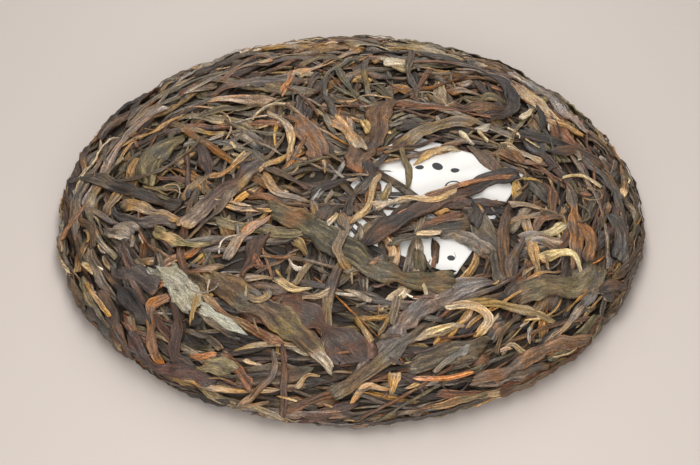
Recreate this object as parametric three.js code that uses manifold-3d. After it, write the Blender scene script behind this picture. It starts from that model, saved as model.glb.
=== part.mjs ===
// A round cake of raw pu erh tea: whole leaves, rolled strips and stems pressed into a domed disc,
// with a paper ticket bedded among the top leaves and the usual dimple in the middle of its underside.
// Millimetres, +Z up. The origin is on the surface that the cake rests on, under its centre.
// +X is the cake's right and +Y its back, as seen from the side that the ticket is read from.

import * as THREE from "three";
import { mergeVertices } from "three/addons/utils/BufferGeometryUtils.js";
import Module from "manifold-3d";

const wasm = await Module();
wasm.setup();

// The cake
const CAKE_RADIUS = 101;
const CENTRE_HEIGHT = 24.5;
const EQUATOR_HEIGHT = 5; // the height at which the rim is widest
const DOME_ACROSS = 2.2; // the dome's two exponents: a little fuller than an ellipse
const DOME_UP = 2.22;
const FOOT_RADIUS = 95; // the underside is flat out to here
const DIMPLE_RADIUS = 30;
const DIMPLE_DEPTH = 10;

// The pressed leaves
const LEAF_RELIEF = 2.7; // from the packed mass under them to their crests
const LEAF_BITE = 1.2; // how far each leaf goes into that mass
const LUMP = 0.7; // the packed mass is uneven by this much
const CORE_SIDES = 36;
const LEAF_SIDES = 5;
const LEAF_RINGS = 6;
const SEED = 20240611;
const PLAN_SHIFT = -2.5; // the top leaves' points are on a plan that lies this far back

// The paper ticket
const TICKET_WIDTH = 50;
const TICKET_LENGTH = 58;
const TICKET_THICKNESS = 0.4;
const TICKET_TURN = THREE.MathUtils.degToRad(-27);
const TICKET_CENTRE = new THREE.Vector2(25, -11.5);
const TICKET_DEPTH = 2.6; // its top face lies this far under the leaves' crests
const TICKET_STEPS = 7;
const PAPER_GAP = 0.3;
const FINENESS = 0.34; // slivers where leaves cross are smoothed away up to this
const CRUMB = 0.9; // crumbs between leaves have this radius

// The largest leaves of the top face, lowest first: name, width, then the points that the leaf runs through.
const TOP_LEAVES = [
  ["back slate blade", 7, [-52, 57], [-34, 63], [-18, 60]],
  ["back pale ribbon", 5.5, [-50, 49], [-38, 51], [-27, 46]],
  ["back grey arc", 4, [-20, 70], [-14, 77], [-5, 78], [2, 76]],
  ["back red stem", 3.4, [-47, 63], [-42, 72], [-36, 82]],
  ["back tan blade", 4, [7, 82], [15, 76], [22, 69]],
  ["back double strip", 3.6, [25, 84], [22, 68], [25, 50]],
  ["back plum blade", 6, [32, 45], [46, 46], [58, 47]],
  ["back moss blade", 5, [36, 52], [48, 55], [59, 52]],
  ["back dark bow", 6, [52, 75], [61, 61], [58, 46], [46, 37]],
  ["back long stem", 3, [8, 46], [24, 43], [40, 41], [52, 37]],
  ["back right strip", 4, [71, 40], [78, 38], [85, 33]],
  ["left oval leaf", 10, [-57, 28], [-66, 20], [-70, 8], [-69, 1]],
  ["left dark strip", 5, [-85, -6], [-73, -17], [-57, -20]],
  ["left slate ribbon", 6, [-98, 8], [-88, 8], [-78, 1], [-68, -6], [-56, -12]],
  ["left pink blade", 5.5, [-79, -6], [-68, -12], [-56, -19]],
  ["left striped leaf", 8, [-83, -18], [-75, -22], [-66, -25]],
  ["left umber blade", 5.5, [-53, 22], [-49, 10], [-48, -1]],
  ["left low ribbon", 4.5, [-97, -27], [-85, -31], [-70, -33], [-56, -34]],
  ["left long umber", 6.5, [-56, -24], [-47, -13], [-38, 0], [-28, 12]],
  ["centre dark band", 9.5, [13, 47], [9, 26], [1, 3]],
  ["centre lobed leaf", 8.5, [-20, 38], [-14, 25], [-10.5, 10]],
  ["centre grey point", 6, [-6, 36], [0, 25], [4, 13]],
  ["centre straw stem", 3.2, [-31, 37], [-23, 32], [-20, 20], [-21, 10]],
  ["centre purple leaf", 6, [-28, 5], [-19, -1], [-10, -6]],
  ["centre dark post", 4.5, [-2, -21], [3, -9], [9, 0]],
  ["right pale fan", 5, [54, 23], [60, 20], [66, 13]],
  ["right rust leaf", 4.5, [70, 3], [69, -4], [68, -12]],
  ["right slate ribbon", 5.5, [74, 2], [76, -12], [75, -28], [75, -42]],
  ["right slate blade", 7, [85, -9], [90, -20], [90, -34]],
  ["right pale patch", 7, [57, -28], [70, -27]],
  ["ticket tan blade", 6, [17, 19], [27, 27], [37, 33], [45, 34]],
  ["ticket knot", 7, [10, 10], [16, 14], [22, 18]],
  ["ticket wide blade", 9, [42, -11], [43, -22], [48, -36], [50, -49]],
  ["ticket dark blade", 7, [2, -36], [18, -21], [36, -8], [60, 8]],
  ["ticket tan line", 3.2, [5, -17], [17, -12], [28, -12.5], [38, -6]],
  ["ticket grey post", 4, [21, -27], [24, -49]],
  ["ticket umber post", 4, [54, -9], [51, -24], [50, -48]],
  ["wide tan blade", 9.5, [50, -54], [64, -49], [76, -47], [84, -36]],
  ["cream hook", 3.5, [60, -38], [66, -33], [72, -33], [75.5, -37], [76, -45]],
  ["rim slate lump", 8.5, [78, -51], [86, -47], [94, -43]],
  ["slate under blade", 8, [14, -86], [28, -80], [44, -75], [52, -63]],
  ["long tan stem", 4.2, [35, -61], [46, -58], [57, -60], [68, -64]],
  ["cream blade", 4.2, [25, -88], [30, -82.5], [38, -76.5]],
  ["rim brown bar", 4.5, [39, -90], [52, -85], [63, -78]],
  ["rust wide leaf", 15, [-26, -62], [-12, -66], [3, -81]],
  ["grey long blade", 8, [0, -94], [9, -79], [20, -64], [33, -54], [49, -47]],
  ["olive blade", 9.5, [-27, -17], [-12, -27], [4, -42], [18, -49], [35, -50]],
  ["hanging strip", 4, [-4, -16], [-2, -28], [-4, -38], [0, -48]],
  ["plum blade", 6.5, [-29, -30], [-31, -40], [-35, -51]],
  ["olive patch", 8, [-50, -80], [-38, -87]],
  ["brown long blade", 9.5, [-50, -44], [-36, -56], [-20, -68], [-7, -82]],
  ["rust post", 3.8, [-21.5, -74], [-20, -86], [-20, -99], [-21, -107]],
  ["dark left blade", 6, [-80, -42], [-72, -54], [-64, -69]],
  ["cream leaf", 7.5, [-63, -42], [-56, -50], [-49, -61]],
  ["cream leaf tail", 5.5, [-46, -61.5], [-40, -65.5], [-32, -70]],
  ["plum stem", 4.8, [-57, -55], [-55, -66], [-54, -78], [-47, -88]],
  ["loop stem", 4, [-57, -53], [-63, -57], [-63, -66], [-60, -76], [-56, -84]],
  ["brown bow", 3.6, [-25, -78], [-23.5, -87], [-28, -94], [-37, -98]],
];

// The strips that fill in between, by belt: how many and how far from the belt's own pole along the surface,
// their lengths and widths, how far they may turn away from running round the cake, and how deep they lie.
const BELTS = [
  { name: "face", count: 26, ring: [20, 88], length: [22, 48], width: [3.5, 7], turn: 90, depth: [0.2, 0.8] },
  { name: "rim top", count: 24, ring: [92, 103], length: [30, 55], width: [4, 7], turn: 28, depth: [-0.1, 0.6] },
];
const UNDER_BELTS = [
  { name: "rim foot", count: 18, ring: [86, 97], length: [30, 55], width: [4, 7], turn: 22, depth: [-0.1, 0.6] },
  { name: "underside", count: 18, ring: [38, 78], length: [28, 50], width: [5, 9], turn: 75, depth: [-0.4, 0.4] },
];

// One broad leaf of the underside, pressed flat: the cake rests on it and on its neighbours.
const REST_LEAF = ["rest leaf", 13, [-26, -62], [0, -60], [26, -62]];

// The same seed always gives the same leaves.
function seeded(seed) {
  let state = seed >>> 0;
  return () => {
    state = (state + 0x6d2b79f5) >>> 0;
    let t = Math.imul(state ^ (state >>> 15), 1 | state);
    t = (t + Math.imul(t ^ (t >>> 7), 61 | t)) ^ t;
    return ((t ^ (t >>> 14)) >>> 0) / 4294967296;
  };
}

const random = seeded(SEED);
const between = (low, high) => low + (high - low) * random();

// The outline of half the cake, from the top of the dome round the rim to the roof of the dimple.
function outline(steps) {
  const points = [];
  for (let i = 0; i <= steps; i++) {
    const a = (Math.PI / 2) * (i / steps);
    const rise = CENTRE_HEIGHT - EQUATOR_HEIGHT;
    const across = CAKE_RADIUS * Math.sin(a) ** (2 / DOME_ACROSS);
    points.push(new THREE.Vector2(across, EQUATOR_HEIGHT + rise * Math.abs(Math.cos(a)) ** (2 / DOME_UP)));
  }
  for (let i = 1; i <= steps / 2; i++) {
    const a = (Math.PI / 2) * (i / (steps / 2));
    const across = FOOT_RADIUS + (CAKE_RADIUS - FOOT_RADIUS) * Math.cos(a);
    points.push(new THREE.Vector2(across, EQUATOR_HEIGHT * (1 - Math.sin(a))));
  }
  for (let i = 0; i <= steps / 2; i++) {
    const r = DIMPLE_RADIUS * (1 - i / (steps / 2));
    points.push(new THREE.Vector2(r, DIMPLE_DEPTH * (1 - (r / DIMPLE_RADIUS) ** 2) ** 2));
  }
  return points;
}

// The outline as a way along the surface: its points, its outward normals and the distance run at each.
function track(points) {
  const run = [0];
  for (let i = 1; i < points.length; i++) run.push(run[i - 1] + points[i].distanceTo(points[i - 1]));
  const normals = points.map((_, i) => {
    const ahead = points[Math.min(i + 1, points.length - 1)];
    const along = ahead.clone().sub(points[Math.max(i - 1, 0)]);
    return new THREE.Vector2(-along.y, along.x).normalize();
  });
  return { points, normals, run, total: run.at(-1) };
}

const surface = track(outline(64));

// The place on the surface after a given way from the top of the dome, raised by lift along the normal.
function alongTrack(way, lift) {
  const s = THREE.MathUtils.clamp(way, 0, surface.total);
  let i = 1;
  while (i < surface.run.length - 1 && surface.run[i] < s) i++;
  const t = (s - surface.run[i - 1]) / (surface.run[i] - surface.run[i - 1]);
  const place = surface.points[i - 1].clone().lerp(surface.points[i], t);
  return place.addScaledVector(surface.normals[i - 1].clone().lerp(surface.normals[i], t), lift);
}

// Maps a flat chart onto the cake: distances from the chart's middle run along the surface,
// from the top of the dome, or from the middle of the underside.
function onCake(x, y, lift, under = false) {
  const way = Math.hypot(x, y);
  const place = alongTrack(under ? surface.total - way : way, lift);
  const angle = Math.atan2(y, x);
  return new THREE.Vector3(place.x * Math.cos(angle), place.x * Math.sin(angle), place.y);
}

// A geometry as a closed solid.
function solidOf(geometry) {
  const bare = geometry.clone();
  bare.deleteAttribute("normal");
  bare.deleteAttribute("uv");
  const merged = mergeVertices(bare, 1e-4);
  return new wasm.Manifold(
    new wasm.Mesh({
      numProp: 3,
      vertProperties: merged.getAttribute("position").array,
      triVerts: new Uint32Array(merged.index.array),
    }),
  );
}

// A solid as a geometry.
function geometryOf(solid) {
  const mesh = solid.getMesh();
  const geometry = new THREE.BufferGeometry();
  geometry.setAttribute("position", new THREE.BufferAttribute(mesh.vertProperties, 3));
  geometry.setIndex(new THREE.BufferAttribute(mesh.triVerts, 1));
  geometry.computeVertexNormals();
  return geometry;
}

// Moves every vertex of a geometry to where place(vertex) says.
function reshape(geometry, place) {
  const position = geometry.getAttribute("position");
  for (let i = 0; i < position.count; i++) {
    const moved = place(new THREE.Vector3().fromBufferAttribute(position, i));
    position.setXYZ(i, moved.x, moved.y, moved.z);
  }
  return geometry;
}

// The packed mass under the leaves that show: the cake's outline drawn in by the leaves' relief, and lumpy.
function core() {
  const drawnIn = track(outline(10)).points.map((p, i, all) => {
    const ahead = all[Math.min(i + 1, all.length - 1)];
    const along = ahead.clone().sub(all[Math.max(i - 1, 0)]);
    const normal = new THREE.Vector2(-along.y, along.x).normalize();
    return p.clone().addScaledVector(normal, -LEAF_RELIEF);
  });
  drawnIn[0].x = 0;
  drawnIn.at(-1).x = 0;
  const turned = new THREE.LatheGeometry(drawnIn.reverse(), CORE_SIDES).rotateX(Math.PI / 2);
  return solidOf(
    reshape(turned, (p) => {
      const lump = LUMP * (Math.sin(p.x / 7) * Math.cos(p.y / 9) + 0.5 * Math.sin((p.x + 2 * p.y) / 17));
      const rim = Math.hypot(p.x, p.y) / CAKE_RADIUS;
      const sway = lump * 0.004;
      return p.setZ(p.z + lump * (1 - rim ** 8)).multiply(new THREE.Vector3(1 + sway, 1 - sway, 1));
    }),
  );
}

// A leaf: a ball drawn out along a path on the cake, flat, tapered at both ends, a little wavy and twisted.
function leaf(width, points, { under = false, depth = 0 } = {}) {
  const path = new THREE.CatmullRomCurve3(points.map(([x, y]) => new THREE.Vector3(x, y, 0)));
  const thickness = Math.min(LEAF_RELIEF + LEAF_BITE, 1.6 + width / 2);
  const wave = between(0, 2 * Math.PI);
  const twist = between(-0.25, 0.25);
  const hand = under ? -1 : 1; // seen from outside, the underside's chart is mirrored
  const ball = new THREE.SphereGeometry(1, LEAF_SIDES, LEAF_RINGS);
  return solidOf(
    reshape(ball, (p) => {
      const t = THREE.MathUtils.clamp(Math.acos(THREE.MathUtils.clamp(p.y, -1, 1)) / Math.PI, 0, 1);
      const centre = path.getPointAt(t);
      const along = path.getTangentAt(t);
      const taper = Math.sin(Math.PI * t) ** 0.38;
      const around = Math.atan2(p.z, p.x) + twist * Math.cos(Math.PI * t);
      const side = t === 0 || t === 1 ? 0 : hand * (width / 2) * taper * Math.cos(around);
      const up = t === 0 || t === 1 ? 0 : (thickness / 2) * taper * Math.sin(around);
      const ripple = 0.25 * Math.sin(wave + 9 * t);
      const lift = up - thickness / 2 - depth + ripple;
      return onCake(centre.x - along.y * side, centre.y + along.x * side, lift, under);
    }),
  );
}

// Whether a place of the top chart lies over the ticket, where only the leaves seen there may cross it.
function overTicket(x, y) {
  const local = new THREE.Vector2(x, y).sub(TICKET_CENTRE).rotateAround(new THREE.Vector2(), -TICKET_TURN);
  return Math.abs(local.x) < TICKET_WIDTH / 2 + 3 && Math.abs(local.y) < TICKET_LENGTH / 2 + 3;
}

// The strips of one belt, spread evenly round it by the golden angle.
function beltLeaves({ count, ring, length, width, turn, depth }, under) {
  const [inner, outer] = ring;
  const golden = Math.PI * (3 - Math.sqrt(5));
  const made = [];
  for (let i = 0; i < count; i++) {
    const way = Math.sqrt(THREE.MathUtils.lerp(inner ** 2, outer ** 2, (i + 0.5) / count));
    const bearing = i * golden + between(-0.1, 0.1);
    const heading = bearing + Math.PI / 2 + THREE.MathUtils.degToRad(between(-turn, turn));
    const half = between(...length) / 2;
    const bend = between(-0.22, 0.22) * half;
    const x = way * Math.cos(bearing);
    const y = way * Math.sin(bearing);
    const [dx, dy] = [Math.cos(heading), Math.sin(heading)];
    const inward = (way > 85 ? 0.5 : 0) * (half ** 2 / way);
    const ends = [-1, 1].map((k) => [
      x + k * half * dx - (inward * x) / way,
      y + k * half * dy - (inward * y) / way,
    ]);
    const points = [ends[0], [x - dy * bend, y + dx * bend], ends[1]];
    const wide = between(...width);
    if (!under && points.some(([px, py]) => overTicket(px, py))) continue;
    made.push(leaf(wide, points, { under, depth: between(...depth) }));
  }
  return made;
}

// The ticket, or the room that it needs: a sheet laid on the cake's curve.
function ticketSheet(grow) {
  const sheet = new THREE.BoxGeometry(
    TICKET_WIDTH + 2 * grow,
    TICKET_LENGTH + 2 * grow,
    TICKET_THICKNESS + 2 * grow,
    TICKET_STEPS,
    TICKET_STEPS,
    1,
  );
  return solidOf(
    reshape(sheet, (p) => {
      const turned = new THREE.Vector2(p.x, p.y).rotateAround(new THREE.Vector2(), TICKET_TURN);
      const flat = turned.add(TICKET_CENTRE);
      return onCake(flat.x, flat.y, p.z - TICKET_DEPTH);
    }),
  );
}

// Everything above the resting plane.
function aboveTable() {
  const size = 3 * CAKE_RADIUS;
  const room = new THREE.BoxGeometry(size, size, size);
  room.translate(0, 0, size / 2);
  return solidOf(room);
}

// The ticket's bed: the packed mass lies flat under it, a gap below the paper.
function ticketBed() {
  const bed = ticketSheet(PAPER_GAP);
  return bed.add(bed.translate([0, 0, 0.6]));
}

// The largest body of a solid, without loose scraps and sealed hollows.
function largest(solid) {
  return solid.decompose().sort((a, b) => b.volume() - a.volume())[0];
}

// The edges along which two of a solid's surfaces touch, each by its two ends.
function pinches(solid) {
  const { vertProperties, triVerts } = solid.getMesh();
  const place = (v) => new THREE.Vector3().fromArray(vertProperties, 3 * v);
  const key = (v) => place(v).toArray().map((c) => c.toFixed(4)).join();
  const uses = new Map();
  for (let i = 0; i < triVerts.length; i++) {
    const ends = [triVerts[i], triVerts[i % 3 === 2 ? i - 2 : i + 1]];
    const edge = ends.map(key).sort().join(" ");
    uses.set(edge, [...(uses.get(edge) ?? []), ends.map(place)]);
  }
  return [...uses.values()].filter((same) => same.length !== 2).map((same) => same[0]);
}

// A crumb of leaf, long enough to cover such an edge.
function crumb([start, end]) {
  const along = end.clone().sub(start);
  const middle = start.clone().add(end).divideScalar(2);
  const bead = new THREE.SphereGeometry(CRUMB, 5, 4).scale(1, 1 + along.length() / 2 / CRUMB, 1);
  const upright = new THREE.Vector3(0, 1, 0);
  bead.applyQuaternion(new THREE.Quaternion().setFromUnitVectors(upright, along.normalize()));
  return solidOf(bead.translate(middle.x, middle.y, middle.z));
}

// The solid with its slivers smoothed away and crumbs wherever that leaves two surfaces touching.
function smoothed(solid, fineness) {
  const smooth = largest(solid.asOriginal().simplify(fineness));
  const crumbs = pinches(smooth).map(crumb);
  return crumbs.length ? largest(wasm.Manifold.union([smooth, ...crumbs])) : smooth;
}

// The packed mass with every leaf fused on, before it is trimmed.
function leavesOnCore() {
  const fillers = BELTS.flatMap((belt) => beltLeaves(belt, false));
  const underneath = UNDER_BELTS.flatMap((belt) => beltLeaves(belt, true));
  const rest = leaf(REST_LEAF[1], REST_LEAF.slice(2), { under: true, depth: -0.4 });
  const low = wasm.Manifold.union([core(), ...fillers, ...underneath, rest]);
  const placed = TOP_LEAVES.map(([, width, ...points]) => {
    const shifted = points.map(([x, y]) => [x, y + PLAN_SHIFT]);
    return leaf(width, shifted, { depth: between(-0.2, 0.2) });
  });
  return low.subtract(ticketBed()).add(wasm.Manifold.union(placed));
}

function cakeSolid() {
  const whole = smoothed(leavesOnCore(), FINENESS);
  const trimmed = largest(whole.subtract(ticketSheet(PAPER_GAP)).intersect(aboveTable()));
  return smoothed(trimmed, FINENESS / 16);
}

function mesh(name, solid, colour, roughness) {
  const made = new THREE.Mesh(
    geometryOf(solid),
    new THREE.MeshStandardMaterial({ color: colour, roughness, metalness: 0 }),
  );
  made.name = name;
  return made;
}

const cake = new THREE.Group();
cake.add(mesh("tea_cake", cakeSolid(), 0x5a4c3f, 0.75));
cake.add(mesh("paper_ticket", ticketSheet(0), 0xf2f1ee, 0.85));

export default cake;
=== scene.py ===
"""A round cake of raw pu erh tea on a pale floor.

Whole leaves, rolled strips, stems and pale buds are laid one by one over a packed core, whose dark colour is
painted shade, and pressed down to the cake's outline, with a paper ticket bedded among them.
Sizes are in millimetres up to the meshes."""

import math

import bpy
import numpy as np
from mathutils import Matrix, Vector


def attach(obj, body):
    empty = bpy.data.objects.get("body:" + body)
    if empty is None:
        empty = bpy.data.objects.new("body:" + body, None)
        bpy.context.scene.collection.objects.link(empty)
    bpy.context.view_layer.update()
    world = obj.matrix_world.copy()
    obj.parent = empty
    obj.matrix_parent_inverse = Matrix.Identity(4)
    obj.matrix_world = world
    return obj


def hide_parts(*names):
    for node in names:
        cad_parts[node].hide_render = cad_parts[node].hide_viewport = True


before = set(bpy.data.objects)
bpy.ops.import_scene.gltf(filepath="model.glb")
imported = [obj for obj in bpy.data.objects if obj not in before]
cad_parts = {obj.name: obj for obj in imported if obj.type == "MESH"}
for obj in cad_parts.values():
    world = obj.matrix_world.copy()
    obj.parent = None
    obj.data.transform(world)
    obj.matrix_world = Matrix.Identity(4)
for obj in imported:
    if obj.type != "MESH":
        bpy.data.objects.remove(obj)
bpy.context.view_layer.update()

# The cake's outline, in millimetres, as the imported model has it
RADIUS = 101.0
CENTRE_HEIGHT = 24.5
EQUATOR_HEIGHT = 5.0
DOME_ACROSS, DOME_UP = 2.2, 2.22
FOOT_RADIUS = 95.0
DIMPLE_RADIUS, DIMPLE_DEPTH = 30.0, 10.0

# The pressed leaves
CELL = 0.5  # the height maps' step
REACH_TOP, REACH_UNDER = 116.0, 112.0  # how far each chart runs from its pole, along the surface
CREST = -0.15  # where the highest crests end, from the outline
RELIEF = 4.0  # from there to the deepest gaps
PRESS = 2.6  # a step this high in the loose heap is pressed to about two thirds of the relief
STIFFNESS = 0.5  # how far a leaf bridges the dips of its bed, from 0 to 1
RIM_FROM, RIM_TO = 82, 98  # where the rim's unevenness starts and is full, along the surface
RIM_UNEVEN, RIM_LOOSE = 0.22, 0.45  # how far the rim's outline wanders, and its single leaves
RIM_WAVES = ((23, 9), (67, -4), (131, 2))  # waves round the cake, and how they turn along the surface
CORE_DEPTH = 4.4
CORE_STEPS = (170, 260)  # along the surface and round the cake

# The ticket, on the top chart
TICKET_SIZE = (50.0, 58.0)
TICKET_THICKNESS = 0.16
TICKET_STEPS = (60, 68)
TICKET_TURN = math.radians(-27)
TICKET_CENTRE = (25.0, -11.5)

# The camera
CAMERA_ELEVATION = math.radians(39.6)
CAMERA_DISTANCE = 620.0
CAMERA_TARGET = np.array([0.0, 0.0, 12.0])
CAMERA_LENS, CAMERA_FILM = 92.8, 36
CAMERA_DROP = math.radians(1.21)

# How the leaves' points were read: as a plan of a dome with this edge height, rise and round edge, seen from
# this elevation
READ_ELEVATION = math.radians(39.05)
READ_EDGE, READ_RISE = 17.0, 8.0
READ_DOME, READ_ROUND = 88, 12
READ_REACH = 110  # how far before and behind the cake's middle a line of sight is followed
READ_SCALE = 1.0035  # the reading camera's lens against the camera's
READ_SHIFT = np.array([-0.0004, -0.0043])

rng = np.random.default_rng(357)

# Leaf colours in sRGB: painted shade in the hollows between the folds, painted highlight at a fold's lip
PAINT = {
    "ink": ((28, 21, 17), (80, 68, 60)),
    "slate": ((46, 40, 36), (124, 113, 101)),
    "grey": ((74, 63, 52), (180, 163, 140)),
    "moss": ((52, 44, 29), (142, 128, 91)),
    "umber": ((50, 37, 28), (138, 114, 90)),
    "rust": ((60, 37, 24), (146, 100, 68)),
    "plum": ((44, 32, 27), (116, 92, 79)),
    "tan": ((104, 80, 54), (212, 182, 142)),
    "straw": ((130, 105, 70), (232, 209, 164)),
    "cream": ((146, 132, 108), (236, 224, 198)),
    "ash": ((166, 159, 142), (243, 237, 222)),
    "gold": ((112, 88, 52), (208, 176, 114)),
    "amber": ((108, 66, 35), (220, 152, 90)),
    "bronze": ((84, 56, 34), (184, 134, 86)),
}

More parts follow.
